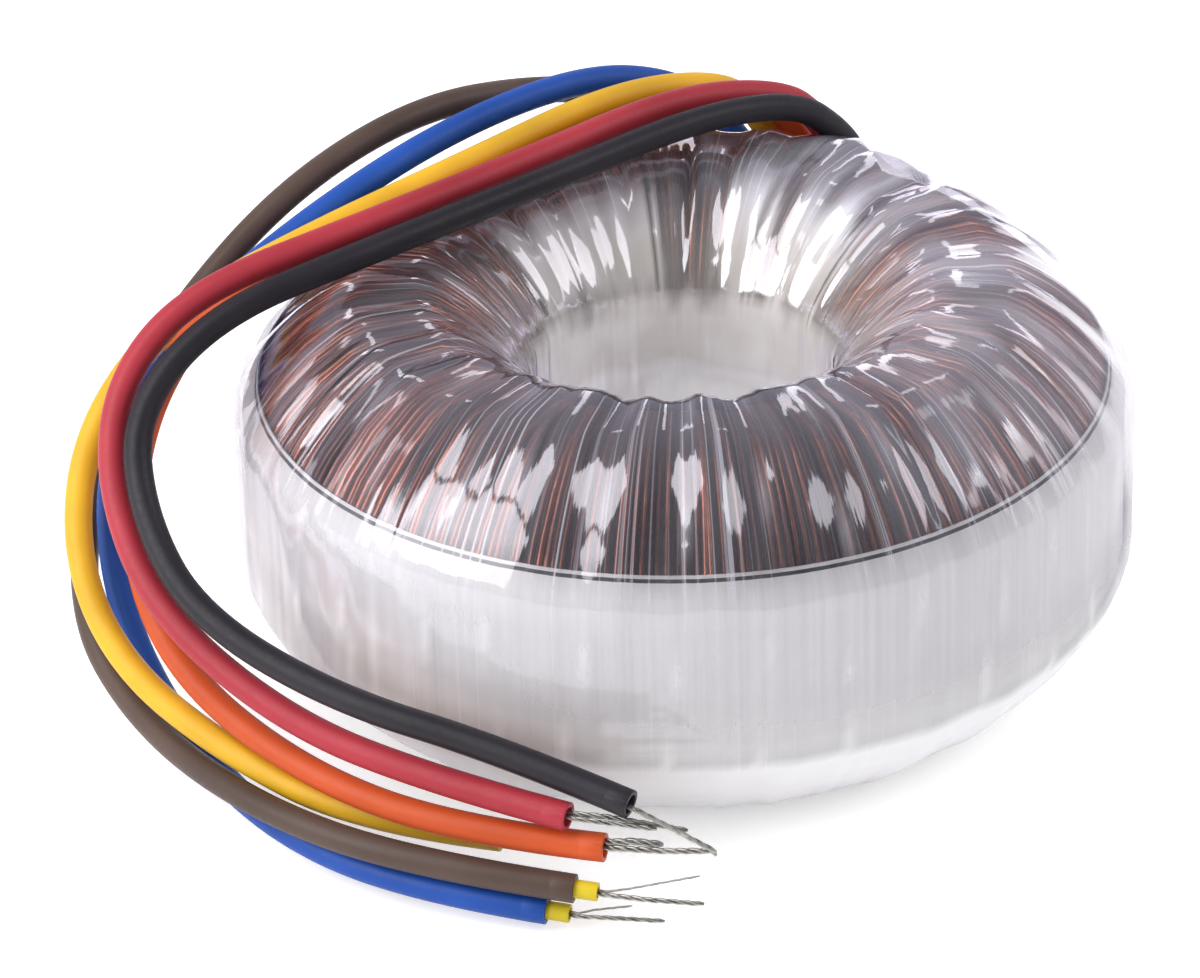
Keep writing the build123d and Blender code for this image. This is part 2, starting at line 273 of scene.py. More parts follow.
# ---- Material helpers ----------------------------------------------------------
class Finish:
    """A node material in the making: every method adds a node and returns its output."""

    def __init__(self, name):
        self.material = bpy.data.materials.new(name)
        self.material.use_nodes = True
        self.tree = self.material.node_tree
        self.tree.nodes.clear()
        self.output = self.tree.nodes.new("ShaderNodeOutputMaterial")

    def node(self, kind, **sockets):
        made = self.tree.nodes.new(kind)
        for name, value in sockets.items():
            self.put(made.inputs[name.replace("_", " ")], value)
        return made

    def put(self, socket, value):
        """Links a node's output, or sets a number or an opaque colour."""
        if isinstance(value, bpy.types.NodeSocket):
            self.tree.links.new(value, socket)
        elif isinstance(value, tuple):
            socket.default_value = (*value, 1.0)
        else:
            socket.default_value = value

    def math(self, operation, first, second=0.0, clamp=False):
        made = self.tree.nodes.new("ShaderNodeMath")
        made.operation = operation
        made.use_clamp = clamp
        self.put(made.inputs[0], first)
        self.put(made.inputs[1], second)
        return made.outputs[0]

    def plus(self, first, second, clamp=False):
        return self.math("ADD", first, second, clamp)

    def times(self, first, second):
        return self.math("MULTIPLY", first, second)

    def coords(self):
        return self.tree.nodes.new("ShaderNodeTexCoord").outputs["Object"]

    def attribute(self, name):
        made = self.tree.nodes.new("ShaderNodeAttribute")
        made.attribute_name = name
        return made.outputs["Fac"]

    def noise(self, vector, scale, detail=2.0):
        return self.node("ShaderNodeTexNoise", Vector=vector, Scale=scale, Detail=detail).outputs["Fac"]

    def span(self, value, low, high, to_low=0.0, to_high=1.0):
        """The value mapped from one range to another, and held at its ends."""
        return self.node("ShaderNodeMapRange", Value=value, From_Min=low, From_Max=high,
                         To_Min=to_low, To_Max=to_high).outputs["Result"]

    def blend(self, share, first, second):
        made = self.tree.nodes.new("ShaderNodeMix")
        made.data_type = "RGBA"
        self.put(made.inputs["Factor"], share)
        # The node's two colour inputs and its colour output go by number.
        self.put(made.inputs[6], first)
        self.put(made.inputs[7], second)
        return made.outputs[2]

    def bump(self, height, strength, distance):
        made = self.node("ShaderNodeBump", Height=height, Strength=strength, Distance=distance)
        return made.outputs["Normal"]

    def result(self, kind, **sockets):
        """The node's first output, such as its shader."""
        return self.node(kind, **sockets).outputs[0]

    def mix_shader(self, share, first, second):
        made = self.tree.nodes.new("ShaderNodeMixShader")
        self.put(made.inputs[0], share)
        self.put(made.inputs[1], first)
        self.put(made.inputs[2], second)
        return made.outputs[0]

    def add_shader(self, first, second):
        made = self.tree.nodes.new("ShaderNodeAddShader")
        self.put(made.inputs[0], first)
        self.put(made.inputs[1], second)
        return made.outputs[0]

    def done(self, shader):
        self.tree.links.new(shader, self.output.inputs["Surface"])
        return self.material

    def solid(self, **sockets):
        """Finishes an opaque material."""
        return self.done(self.result("ShaderNodeBsdfPrincipled", **sockets))


def polar(finish, coords):
    """Radius from the ring's axis, the direction from it as x and y, and the height."""
    x, y, z = finish.node("ShaderNodeSeparateXYZ", Vector=coords).outputs
    radius = finish.math("SQRT", finish.plus(finish.times(x, x), finish.times(y, y)))
    return radius, finish.math("DIVIDE", x, radius), finish.math("DIVIDE", y, radius), z


def radial_streaks(finish, coords, count, along, detail=3.0):
    """Noise drawn out along the folds: quick round the ring and slow along its section."""
    radius, east, north, z = polar(finish, coords)
    vector = finish.result("ShaderNodeCombineXYZ", X=finish.times(east, count),
                           Y=finish.times(north, count), Z=finish.times(finish.plus(radius, z), along))
    return finish.noise(vector, 1.0, detail)


def seen_directly(tree):
    """1 for rays from the camera and for reflected or refracted ones, 0 for diffuse light."""
    path = tree.nodes.new("ShaderNodeLightPath").outputs
    total = path["Is Camera Ray"]
    for ray in ("Is Glossy Ray", "Is Transmission Ray"):
        larger = tree.nodes.new("ShaderNodeMath")
        larger.operation = "MAXIMUM"
        tree.links.new(total, larger.inputs[0])
        tree.links.new(path[ray], larger.inputs[1])
        total = larger.outputs[0]
    return total


# ---- Materials -----------------------------------------------------------------
def clear_film():
    """Clear film with a sheen, milky where the mesh's milk attribute says so; that attribute also
    carries the painted reflection in the bore's mouth.
    """
    finish = Finish("pleated_clear_film")
    coords = finish.coords()
    radius, _, _, z = polar(finish, coords)
    ripple = radial_streaks(finish, coords, 60.0, 30.0, 1.5)
    ripple = finish.times(ripple, finish.span(radius, 20.0 * MM, 31.0 * MM, 0.3, 1.0))
    lumps = finish.times(finish.noise(coords, 110.0), 2.0)
    normal = finish.bump(finish.plus(ripple, lumps), 0.24, 0.07 * MM)
    # Fine creases show as thin white lines along the folds, partly whitened film and partly painted
    # glints, fewer on the wall and in the bore.
    crease = radial_streaks(finish, coords, 130.0, 22.0, 1.0)
    line = finish.span(crease, 0.62, 0.76, 0.0, 0.34)
    line = finish.times(line, finish.span(radius, 38.6 * MM, 39.6 * MM, 1.0, 0.2))
    line = finish.times(line, finish.span(radius, 15.0 * MM, 19.0 * MM))
    clouding_and_painted_light = finish.plus(finish.attribute("milk_and_painted_light"), line, clamp=True)
    # The sheen is fainter on the wall and low down, and stronger on the many layers in the bore.
    facing = finish.result("ShaderNodeFresnel", IOR=1.5, Normal=normal)
    mirror = finish.plus(finish.times(facing, 1.5), 0.055, clamp=True)
    mirror = finish.times(mirror, finish.span(radius, 37.4 * MM, 39.2 * MM, 1.0, 0.42))
    mirror = finish.times(mirror, finish.span(z, 6.0 * MM, 12.0 * MM, 0.4, 1.0))
    in_bore = finish.span(z, 20.5 * MM, 23.0 * MM, 3.0, 1.5)
    mirror = finish.times(mirror, finish.span(radius, 14.5 * MM, 17.0 * MM, in_bore, 1.0))
    # The lining is painted lighter low in the bore and darker above it, painted light from the floor
    # below and painted shade, and it is softly blotched.
    blotch = finish.noise(coords, 170.0, 1.0)
    band = finish.span(finish.plus(z, finish.times(blotch, 3.0 * MM)), 21.4 * MM, 22.6 * MM, 1.0, 0.0)
    tone = finish.plus(band, finish.span(blotch, 0.40, 0.62, 0.0, 0.5), clamp=True)
    lining = finish.blend(tone, (0.74, 0.70, 0.66), (0.98, 0.97, 0.95))
    haze = finish.blend(finish.span(z, 14.0 * MM, 30.0 * MM), (0.94, 0.935, 0.93), (0.84, 0.82, 0.92))
    haze = finish.blend(finish.span(z, 3.0 * MM, 10.0 * MM), (0.87, 0.865, 0.86), haze)
    haze = finish.blend(finish.span(radius, 16.0 * MM, 22.0 * MM), lining, haze)
    milk_and_painted_light = finish.result("ShaderNodeBsdfPrincipled", Base_Color=haze, Roughness=0.30, Normal=normal)
    clear = finish.result("ShaderNodeBsdfTransparent", Color=(0.95, 0.94, 0.95))
    sheen = finish.result("ShaderNodeBsdfGlossy", Color=(0.95, 0.92, 1.0), Roughness=0.07, Normal=normal)
    body = finish.mix_shader(clouding_and_painted_light, clear, milk_and_painted_light)
    return finish.done(finish.mix_shader(mirror, body, sheen))


def copper_turns():
    """Enamelled copper, lighter or darker turn by turn."""
    finish = Finish("enamelled_copper_turns")
    speck = finish.noise(finish.coords(), 900.0, 3.0)
    enamel = finish.blend(finish.attribute("tone"), (0.115, 0.045, 0.044), (0.70, 0.25, 0.14))
    colour = finish.blend(finish.span(speck, 0.35, 0.8, 0.0, 0.4), enamel, (0.10, 0.028, 0.016))
    roughness = finish.span(speck, 0.2, 0.8, 0.26, 0.42)
    return finish.solid(Base_Color=colour, Metallic=0.85, Roughness=roughness,
                        Normal=finish.bump(speck, 0.2, 0.05 * MM))


def hidden_copper():
    finish = Finish("enamelled_copper_inside")
    streak = radial_streaks(finish, finish.coords(), 90.0, 60.0)
    colour = finish.blend(streak, (0.012, 0.007, 0.006), (0.045, 0.017, 0.012))
    return finish.solid(Base_Color=colour, Metallic=0.5, Roughness=0.5,
                        Normal=finish.bump(streak, 0.4, 0.2 * MM))


def amber_tape():
    finish = Finish("amber_polyester_tape")
    streak = radial_streaks(finish, finish.coords(), 30.0, 30.0)
    colour = finish.blend(streak, (0.46, 0.33, 0.12), (0.68, 0.54, 0.26))
    return finish.solid(Base_Color=colour, Roughness=0.28, Normal=finish.bump(streak, 0.3, 0.1 * MM))


def strip_steel():
    """Steel strip wound edge on, whose laps show as fine rings."""
    finish = Finish("strip_wound_steel")
    radius, _, _, _ = polar(finish, finish.coords())
    laps = finish.math("SINE", finish.times(radius, TURN / (0.3 * MM)))
    colour = finish.blend(finish.span(laps, -1.0, 1.0), (0.22, 0.22, 0.23), (0.42, 0.42, 0.44))
    return finish.solid(Base_Color=colour, Metallic=0.9, Roughness=0.38,
                        Normal=finish.bump(laps, 0.3, 0.05 * MM))


def silver_label():
    """Silver-white paper, bare but for a dark line along its upper edge."""
    finish = Finish("silver_label_paper")
    coords = finish.coords()
    _, _, _, z = polar(finish, coords)
    grain = finish.noise(coords, 2400.0)
    wrinkle = radial_streaks(finish, coords, 60.0, 20.0)
    paper = finish.blend(finish.span(wrinkle, 0.3, 0.7), (0.76, 0.755, 0.75), (0.86, 0.855, 0.85))
    below_edge = finish.math("SUBTRACT", label_top, z)
    in_line = finish.times(finish.math("GREATER_THAN", below_edge, edge_line_start),
                           finish.math("LESS_THAN", below_edge, edge_line_end))
    return finish.solid(Base_Color=finish.blend(in_line, paper, (0.02, 0.02, 0.03)), Roughness=0.42,
                        Normal=finish.bump(finish.plus(grain, wrinkle), 0.25, 0.06 * MM))


def vinyl(name, colour):
    finish = Finish("vinyl_sleeve_" + name)
    coords = finish.coords()
    broad = finish.noise(coords, 90.0, 3.0)
    fine = finish.noise(coords, 2600.0)
    lighter = tuple(min(1.0, 1.16 * channel + 0.006) for channel in colour)
    darker = tuple(0.84 * channel for channel in colour)
    return finish.solid(Base_Color=finish.blend(finish.span(broad, 0.3, 0.7), darker, lighter),
                        Roughness=finish.span(fine, 0.3, 0.7, 0.42, 0.56), Specular_IOR_Level=0.34,
                        Normal=finish.bump(fine, 0.25, 0.05 * MM))


def tinned_wire():
    finish = Finish("tinned_copper_wire")
    dull = finish.noise(finish.coords(), 1500.0, 4.0)
    colour = finish.blend(finish.span(dull, 0.3, 0.75), (0.30, 0.29, 0.26), (0.56, 0.55, 0.51))
    roughness = finish.span(dull, 0.3, 0.7, 0.25, 0.5)
    return finish.solid(Base_Color=colour, Metallic=1.0, Roughness=roughness,
                        Normal=finish.bump(dull, 0.3, 0.05 * MM))


def floor_white():
    """White floor. Its glow whitens the background and its reflections, and lights nothing."""
    finish = Finish("studio_floor_white")
    grain = finish.noise(finish.coords(), 40.0)
    colour = finish.blend(grain, (0.86, 0.86, 0.86), (0.89, 0.89, 0.89))
    paint = finish.result("ShaderNodeBsdfDiffuse", Color=colour)
    glow = finish.result("ShaderNodeEmission", Color=(1.0, 1.0, 1.0), Strength=floor_glow)
    lit = finish.add_shader(paint, glow)
    return finish.done(finish.mix_shader(seen_directly(finish.tree), paint, lit))


# ---- Building ---------------------------------------------------------------------
def deselect():
    bpy.ops.object.select_all(action="DESELECT")


def pick(piece):
    deselect()
    piece.select_set(True)
    bpy.context.view_layer.objects.active = piece


def add(name, data):
    """A new object in the scene that carries the data."""
    piece = bpy.data.objects.new(name, data)
    bpy.context.scene.collection.objects.link(piece)
    return piece


def new_curve(name, thickness, rings, capped):
    curve = bpy.data.curves.new(name, "CURVE")
    curve.dimensions = "3D"
    curve.bevel_depth = thickness
    curve.bevel_resolution = rings
    curve.use_fill_caps = capped
    return curve


def add_nurbs(curve, places):
    spline = curve.splines.new("NURBS")
    spline.points.add(len(places) - 1)
    for point, place in zip(spline.points, places):
        point.co = (*place, 1.0)
    spline.order_u = 3
    spline.use_endpoint_u = True
    return spline


def dress(piece, material):
    piece.data.materials.clear()
    piece.data.materials.append(material)
    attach(piece, "root")


def clamped(value):
    return min(1.0, max(0.0, value))


def eased(part):
    """0 below 0 and 1 above 1, with a smooth rise between."""
    part = clamped(part)
    return part * part * (3.0 - 2.0 * part)


def corner_point(share):
    """Point of the unit superellipse quarter, from (1, 0) at 0 to (0, 1) at 1."""
    angle = share * math.pi / 2
    power = 2 / shoulder_exponent
    return max(math.cos(angle), 0.0) ** power, max(math.sin(angle), 0.0) ** power


def section_outline(outer, bore, half_height, outer_leg, bore_leg, steps):
    """(radius, height over the middle) once round the section, from the outer wall up."""
    upper = []
    for step in range(steps + 1):
        along, up = corner_point(step / steps)
        upper.append((outer - outer_leg * (1 - along), half_height - outer_leg * (1 - up)))
    for step in range(steps + 1):
        up, along = corner_point(step / steps)
        upper.append((bore + bore_leg * (1 - along), half_height - bore_leg * (1 - up)))
    lower = [(radius, -height) for radius, height in reversed(upper)]
    return [(outer, 0.0)] + upper + [(bore, 0.0)] + lower


def evenly(outline, count):
    """The closed outline divided into equal lengths."""
    closed = outline + outline[:1]
    lengths = [0.0]
    for here, there in zip(closed, closed[1:]):
        lengths.append(lengths[-1] + math.dist(here, there))
    points = []
    index = 0
    for step in range(count):
        wanted = lengths[-1] * step / count
        while lengths[index + 1] < wanted:
            index += 1
        share = (wanted - lengths[index]) / max(lengths[index + 1] - lengths[index], 1e-12)
        here, there = closed[index], closed[index + 1]
        points.append((here[0] + (there[0] - here[0]) * share, here[1] + (there[1] - here[1]) * share))
    return points


# ---- Copper turns ----------------------------------------------------------------
def make_turn_template():
    """One turn of wire all round the section, at bearing zero."""
    outline = section_outline(winding_radius - wire_radius, winding_bore_radius + wire_radius,
                              winding_half_height - wire_radius, winding_outer_leg, winding_bore_leg,
                              winding_shoulder_steps)
    curve = new_curve("turn_path", wire_radius, 1, capped=False)
    spline = curve.splines.new("POLY")
    spline.points.add(len(outline) - 1)
    for point, (radius, height) in zip(spline.points, outline):
        point.co = (radius, 0.0, middle_height + height, 1.0)
    spline.use_cyclic_u = True
    pick(add("turn_template", curve))
    bpy.ops.object.convert(target="MESH")
    return bpy.context.object


def make_turns():
    rng = random.Random(11)
    template = make_turn_template()
    pitch = TURN / turn_count
    to_middle = Matrix.Translation((0.0, 0.0, middle_height))
    turns = []
    for index in range(turn_count):
        turn = template.copy()
        turn.data = template.data.copy()
        # Neighbouring turns lean and crowd together, as hand-guided wire does.
        drift = noise.noise(Vector((turn_crowding_scale * math.cos(index * pitch),
                                    turn_crowding_scale * math.sin(index * pitch), 0.5)))
        lean = math.radians(drift * 2.0 * turn_lean_degrees + rng.gauss(0.0, 0.35 * turn_lean_degrees))
        sunk = 1.0 - rng.random() * turn_sinking / winding_radius
        bearing = (index + turn_drift * drift + rng.uniform(-turn_jitter, turn_jitter)) * pitch
        turn.data.transform(Matrix.Rotation(bearing, 4, "Z") @ to_middle @ Matrix.Rotation(lean, 4, "X")
                            @ Matrix.Diagonal((sunk, 1.0, sunk, 1.0)) @ to_middle.inverted())
        tone = turn.data.attributes.new("tone", "FLOAT", "POINT")
        value = clamped(rng.gauss(0.38, 0.34))
        tone.data.foreach_set("value", [value] * len(turn.data.vertices))
        bpy.context.scene.collection.objects.link(turn)
        turns.append(turn)
    bpy.data.objects.remove(template)
    deselect()
    for turn in turns:
        turn.select_set(True)
    bpy.context.view_layer.objects.active = turns[0]
    bpy.ops.object.join()
    winding = bpy.context.object
    winding.name = "copper_turns"
    bpy.ops.object.shade_smooth()
    dress(winding, copper_turns())
    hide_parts("secondary_winding_outer")


# ---- Label -----------------------------------------------------------------------
def label_edge_radius(height):
    """Radius of the label's edge, which lies on the shoulder, at a height from the middle."""
    along, up = corner_point(1 / 3)
    low = winding_half_height - winding_outer_leg
    high = winding_half_height - winding_outer_leg * (1 - up)
    high_radius = winding_radius - winding_outer_leg * (1 - along)
    share = (height - low) / (high - low)
    return winding_radius + (high_radius - winding_radius) * share + (label_radius - winding_radius)


def make_label():
    low_edge = middle_height - label_low.z
    top_edge = label_top - middle_height
    straight = winding_half_height - winding_outer_leg
    outline = [(label_edge_radius(low_edge), -low_edge), (label_radius, -straight), (label_radius, 0.0),
               (label_radius, straight), (label_edge_radius(top_edge), top_edge)]
    mesh = bpy.data.meshes.new("label_edge")
    mesh.from_pydata([(0.0, radius, middle_height + height) for radius, height in outline],
                     [(step, step + 1) for step in range(len(outline) - 1)], [])
    band = add("label_band", mesh)
    pick(band)
    bpy.ops.object.mode_set(mode="EDIT")
    bpy.ops.mesh.select_all(action="SELECT")
    bpy.ops.mesh.subdivide(number_cuts=2)
    bpy.ops.transform.rotate(value=label_gap / 2, orient_axis="Z", center_override=(0.0, 0.0, 0.0))
    bpy.ops.mesh.select_all(action="SELECT")
    bpy.ops.mesh.spin(steps=label_steps, angle=TURN - label_gap, center=(0.0, 0.0, 0.0),
                      axis=(0.0, 0.0, 1.0))
    bpy.ops.mesh.select_all(action="SELECT")
    bpy.ops.mesh.normals_make_consistent(inside=False)
    bpy.ops.object.mode_set(mode="OBJECT")
    for vertex in band.data.vertices:
        outwards = Vector((vertex.co.x, vertex.co.y, 0.0)).normalized()
        ripple = noise.noise(Vector((outwards.x * 26, outwards.y * 26, vertex.co.z * 40)))
        vertex.co -= outwards * (label_ripple + label_ripple * ripple)
    solidify = band.modifiers.new("paper_thickness", "SOLIDIFY")
    solidify.thickness = label_thickness
    solidify.offset = -1.0
    bpy.ops.object.modifier_apply(modifier=solidify.name)
    bpy.ops.object.shade_smooth_by_angle(angle=math.radians(40))
    dress(band, silver_label())
    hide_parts("rating_label")


# ---- Film ------------------------------------------------------------------------
def inward(share):
    """0 at the middle of the outer wall, 1 at the middle of the bore, over the top or under."""
    return 1.0 - abs(1.0 - 2.0 * (share % 1.0))


def along_section(values, share):
    """A value read from a short list that runs from the outer wall to the bore."""
    place = inward(share) * (len(values) - 1)
    index = min(int(place), len(values) - 2)
    return values[index] + (values[index + 1] - values[index]) * (place - index)


def crease_net(seed, across, rows, relief, wander):
    """Creases that cross the section: for each, its angle and height at every row."""
    rng = random.Random(seed)
    pitch = TURN / across
    net = []
    for index in range(across):
        start = (index + rng.uniform(-crease_crowding, crease_crowding)) * pitch
        lean = rng.gauss(0.0, crease_lean) * pitch
        side = (1.0 if index % 2 else -1.0) * rng.uniform(lowest_crease, 1.0)
        angles = []
        heights = []
        for row in range(rows):
            share = row / rows
            strength = along_section(relief, share) * MM
            angles.append(start + lean * math.sin(TURN * share) + rng.uniform(-wander, wander) * pitch)
            heights.append(strength * (side + crease_unevenness * rng.uniform(-1.0, 1.0)))
        net.append((angles, heights))
    return net


def net_height(net, angle, share):
    """Height of a crease net there, the facet's width, and the distance from the facet's middle."""
    across = len(net)
    rows = len(net[0][0])
    place = share * rows
    row = int(place) % rows
    next_row = (row + 1) % rows
    part = eased(place - int(place))

    def crease(index):
        angles, heights = net[index % across]
        return (angles[row] + (angles[next_row] - angles[row]) * part + (index // across) * TURN,
                heights[row] + (heights[next_row] - heights[row]) * part)

    index = int(angle / TURN * across) - 1
    before = crease(index)
    after = crease(index + 1)
    while after[0] < angle:
        index += 1
        before, after = after, crease(index + 1)
    while before[0] > angle:
        index -= 1
        before, after = crease(index), before
    width = max(after[0] - before[0], 1e-6)
    across_facet = (angle - before[0]) / width
    across_facet += (eased(across_facet) - across_facet) * crease_roundness
    height = before[1] + (after[1] - before[1]) * across_facet
    return height, min(width, widest_facet), angle - (before[0] + after[0]) / 2


def fold_height(broad, fine, angle, share, radius, out):
    """How far creases and swells lift the film there from its smooth section."""
    height, width, aside = net_height(broad, angle, share)
    # Flat between two broad creases, as taut film is, and not round with the ring.
    flat = math.cos(width / 2) / math.cos(min(abs(aside), width / 2)) - 1.0
    height += flat * radius * max(out, 0.0) * tautness
    height += net_height(fine, angle, share)[0]
    depth = inward(share)
    under = share > 0.5
    swell = noise.noise(Vector((4.0 * math.cos(angle), 4.0 * math.sin(angle),
                                1.5 * depth + (3.0 if under else 0.0))))
    height += along_section(swell_relief, share) * MM * swell * math.sin(math.pi * depth) ** 0.5
    return height * relief_beneath if under else height


def gathered_milk_and_painted_reflection(angle, depth, cloud, streak):
    """Milk of the pale patches where the film is bunched into the bore's mouth, with the lamps'
    reflection painted into them.
    """
    milk_and_painted_light = 0.0
    for bearing, half_width in mouth_patches:
        aside = abs((math.degrees(angle) - bearing + 180.0) % 360.0 - 180.0)
        inside = eased((half_width - aside) / mouth_blur + 0.5 + 2.0 * streak)
        off = (depth - mouth_place + 0.05 * cloud) / mouth_depth
        milk_and_painted_light += mouth_milk_and_painted_reflection * inside * math.exp(-off ** 4)
    return milk_and_painted_light


def clouding_and_painted_light(angle, share, height, near_edge):
    """0 where the film is clear, 1 where it hides what lies beneath; the pale patches in the bore's
    mouth add painted reflection.
    """
    depth = inward(share)
    east, north = math.cos(angle), math.sin(angle)
    # Clouds and streaks that run down into the bore.
    cloud = noise.noise(Vector((9 * east, 9 * north, 5 * depth)))
    streak = noise.noise(Vector((38 * east, 38 * north, 2.5 * depth + 7)))
    milk_and_painted_light = along_section(film_milk, share) * (1.0 + (0.5 * cloud + 0.7 * streak) * (1.0 - depth) ** 0.5)
    milk_and_painted_light += lap_line_milk * math.exp(-(near_edge / lap_line_width) ** 2) * max(0.0, 1.0 - depth)
    towards = max(0.0, math.cos(angle - haze_bearing))
    milk_and_painted_light += haze_share * towards * math.sin(math.pi * depth) * (0.7 + cloud)
    milk_and_painted_light += lining_milk * eased((depth - lining_edge - 0.03 * cloud) / lining_blur)
    wall = max(0.0, 1.0 - depth / wall_haze_reach)
    towards = max(0.0, math.cos(angle - wall_haze_bearing))
    milk_and_painted_light += wall_haze_share * wall * towards ** 3 * (1.0 + 0.5 * streak)
    milk_and_painted_light += foot_haze_share * eased(1.0 - (height - label_low.z) / foot_haze_reach)
    # The pale patches in the bore's mouth are partly painted reflection of the lamps.
    milk_and_painted_light += gathered_milk_and_painted_reflection(angle, depth, cloud, streak)
    if height < milk_beneath_from:
        milk_and_painted_light += milk_beneath
    return clamped(milk_and_painted_light)


def make_film():
    """A torus drawn on to the film's section, creased and lapped, and drawn out at the exits."""
    bpy.ops.mesh.primitive_torus_add(major_segments=film_columns, minor_segments=film_rows,
                                     major_radius=torus_radius, minor_radius=torus_tube,
                                     location=(0.0, 0.0, middle_height))
    film = bpy.context.object
    film.name = "pleated_film"
    pick(film)
    bpy.ops.object.transform_apply(location=True, rotation=True, scale=True)
    outline = evenly(section_outline(ring_radius, bore_radius, ring_height / 2, film_outer_leg,
                                     film_bore_leg, film_shoulder_steps), film_rows)
    normals = []
    for index in range(film_rows):
        back, ahead = outline[index - 1], outline[(index + 1) % film_rows]
        along = Vector((ahead[0] - back[0], ahead[1] - back[1])).normalized()
        normals.append((along.y, -along.x))
    broad = crease_net(5, broad_creases, broad_rows, broad_relief, broad_wander)
    fine = crease_net(6, fine_creases, fine_rows, fine_relief, fine_wander)
    rng = random.Random(7)
    edge_jitter = [rng.uniform(-lap_jitter, lap_jitter) for _ in range(lap_count)]
    exits = [Vector(route[0]) * MM for _, _, route in LEADS.values()]
    milk_and_light_values = [0.0] * len(film.data.vertices)
    for vertex in film.data.vertices:
        angle = math.atan2(vertex.co.y, vertex.co.x) % TURN
        from_tube = math.hypot(vertex.co.x, vertex.co.y) - torus_radius
        around = math.atan2(vertex.co.z - middle_height, from_tube) % TURN
        row = round(around / TURN * film_rows) % film_rows
        share = row / film_rows
        radius, level = outline[row]
        out, up = normals[row]
        lift = fold_height(broad, fine, angle, share, radius, out)
        # Laps of the tape: each edge steps down to the lap beneath it.
        lap_place = angle / TURN * lap_count - share
        lap_index = math.floor(lap_place)
        from_edge = lap_place - lap_index - 0.5 + 0.5 * edge_jitter[lap_index % lap_count]
        lift += lap_step * (0.5 - (from_edge % 1.0))
        near_edge = abs((from_edge + 0.5) % 1.0 - 0.5) * TURN / lap_count * radius
        # The film is drawn out where the leads come through it.
        place = Vector((radius * math.cos(angle), radius * math.sin(angle), middle_height + level))
        nearest = min((place - exit_place).length for exit_place in exits)
        lift += tent_height * math.exp(-(nearest / tent_reach) ** 2)
        # It keeps clear of the bore and of the floor.
        new_radius = max(radius + out * lift, bore_radius)
        new_level = max(level + up * lift, 0.04 * MM - middle_height)
        vertex.co = (new_radius * math.cos(angle), new_radius * math.sin(angle),
                     middle_height + new_level)
        milk_and_light_values[vertex.index] = clouding_and_painted_light(angle, share, middle_height + level, near_edge)
    milk_and_light_layer = film.data.attributes.new("milk_and_painted_light", "FLOAT", "POINT")
    milk_and_light_layer.data.foreach_set("value", milk_and_light_values)
    bpy.ops.object.shade_smooth()
    dress(film, clear_film())
    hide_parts("outer_wrap")


# ---- Leads -----------------------------------------------------------------------
def make_lead(name, colour, route):
    curve = new_curve("lead_" + name, sleeve_radius, 6, capped=False)
    add_nurbs(curve, route)
    curve.resolution_u = 12
    lead = add("lead_" + name, curve)
    dress(lead, vinyl(name, colour))
    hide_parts("lead_sleeve_" + name)
    return lead


def hollow_tube(name, start, direction, outer, inner, length):
    """A short tube with rounded rims that starts at a point and runs along a direction."""
    bpy.ops.mesh.primitive_cylinder_add(vertices=32, radius=outer, depth=length, end_fill_type="NGON")
    tube = bpy.context.object
    tube.name = name
    pick(tube)
    bpy.ops.object.mode_set(mode="EDIT")
    bpy.ops.mesh.select_mode(type="FACE")
    bpy.ops.mesh.select_all(action="DESELECT")
    bpy.ops.object.mode_set(mode="OBJECT")
    for face in tube.data.polygons:
        face.select = face.normal.z > 0.9
    bpy.ops.object.mode_set(mode="EDIT")
    bpy.ops.mesh.inset(thickness=outer - inner)
    bpy.ops.mesh.extrude_region_move(TRANSFORM_OT_translate={"value": (0.0, 0.0, -0.8 * length)})
    bpy.ops.object.mode_set(mode="OBJECT")
    bevel = tube.modifiers.new("rounded_rim", "BEVEL")
    bevel.width = 0.12 * (outer - inner) + 0.03 * MM
    bevel.segments = 2
    bevel.limit_method = "ANGLE"
    bpy.ops.object.modifier_apply(modifier=bevel.name)
    turn = direction.to_track_quat("Z", "Y").to_matrix().to_4x4()
    tube.data.transform(Matrix.Translation(start) @ turn @ Matrix.Translation((0.0, 0.0, length / 2)))
    bpy.ops.object.shade_smooth_by_angle(angle=math.radians(40))
    return tube


def strand_path(path, phase, offset):
    """Points of one strand that winds round a bent path."""
    places = []
    travelled = 0.0
    for here, there in zip(path, path[1:]):
        run = there - here
        count = max(1, round(run.length / strand_step))
        along = run.normalized()
        across = along.orthogonal().normalized()
        other = along.cross(across)
        for index in range(count):
            angle = TURN * (phase + travelled / strand_lay)
            middle = here + run * (index / count)
            places.append(middle + (across * math.cos(angle) + other * math.sin(angle)) * offset)
            travelled += run.length / count
    places.append(path[-1])
    return places


def make_wires(name, middle, direction):
    """The tinned wires of one lead: each is three strands laid up together."""
    side = direction.cross(Vector((0.0, 0.0, 1.0))).normalized()
    up = side.cross(direction)
    curve = new_curve("wires_" + name, MM, 2, capped=True)
    for diameter, (sideways, rise), points in WIRE_ENDS[name]:
        start = middle + (side * sideways + up * rise) * MM
        path = [start - direction * wire_root, start, start + direction * wire_straight]
        path += [start + Vector(point) * MM for point in points]
        strand_size = strand_share * diameter
        for strand in range(3):
            spline = add_nurbs(curve, strand_path(path, strand / 3, strand_size * MM))
            spline.resolution_u = 3
            for point in spline.points:
                point.radius = strand_size
    pick(add("wires_" + name, curve))
    bpy.ops.object.convert(target="MESH")
    bpy.ops.object.shade_smooth()
    return bpy.context.object


